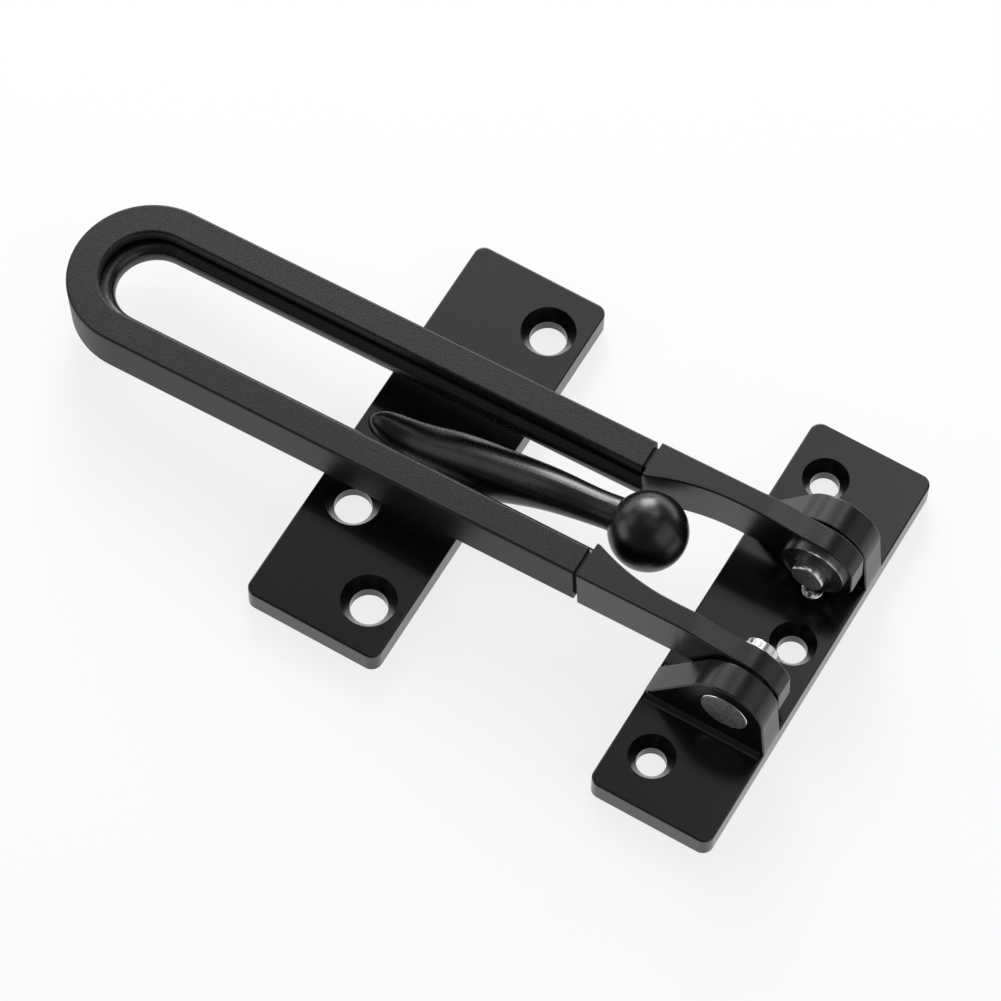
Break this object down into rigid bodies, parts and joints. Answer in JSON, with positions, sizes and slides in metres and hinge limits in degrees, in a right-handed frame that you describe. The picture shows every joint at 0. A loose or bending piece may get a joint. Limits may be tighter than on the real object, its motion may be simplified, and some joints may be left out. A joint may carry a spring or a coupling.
{
  "type": "swing bar door guard",
  "caption": "Door guard with a U-shaped swing bar on a hinge plate and a ball catch on a second plate.",
  "frame": {"origin": "centre of the hinge plate's back face", "axes": "+X from the ball plate towards the hinge plate, +Y along the plates, +Z away from the door"},
  "size_m": [0.1492, 0.0805, 0.0233],
  "materials": {
    "cast_black": "black satin coat on cast zinc",
    "sheet_black": "fine-grained black coat on sheet steel",
    "dark_steel": "blackened steel",
    "bright_steel": "polished plated steel",
    "spring_wire": "drawn spring steel"
  },
  "bodies": {
    "base": {"hinge_plate": "cast_black", "ball_plate": "cast_black", "pivot_pin_near": "dark_steel", "thrust_washer_near": "bright_steel", "plunger_spring_near": "spring_wire", "plunger_plug_near": "dark_steel", "pivot_pin_far": "dark_steel", "thrust_washer_far": "bright_steel", "plunger_spring_far": "spring_wire", "plunger_plug_far": "dark_steel"},
    "bar": {"swing_bar": "cast_black", "bar_sleeve": "sheet_black", "pivot_bush_near": "bright_steel", "pivot_bush_far": "bright_steel"},
    "plunger_near": {"brake_plunger_near": "bright_steel"},
    "plunger_far": {"brake_plunger_far": "bright_steel"}
  },
  "joints": [
    {"name": "bar_swing", "type": "hinge", "parent": "base", "child": "bar", "pos_m": [0.00325, 0, 0.013], "axis": [0, 1, 0], "range_deg": [-1.9, 178]},
    {"name": "plunger_travel_near", "type": "slide", "parent": "base", "child": "plunger_near", "axis": [0, 0, 1], "range_m": [-0.0004, 0], "stiffness_N_per_m": 400, "springref_m": 0.0003, "deforming": ["plunger_spring_near"]},
    {"name": "plunger_travel_far", "type": "slide", "parent": "base", "child": "plunger_far", "axis": [0, 0, 1], "range_m": [-0.0004, 0], "stiffness_N_per_m": 400, "springref_m": 0.0003, "deforming": ["plunger_spring_far"]}
  ]
}
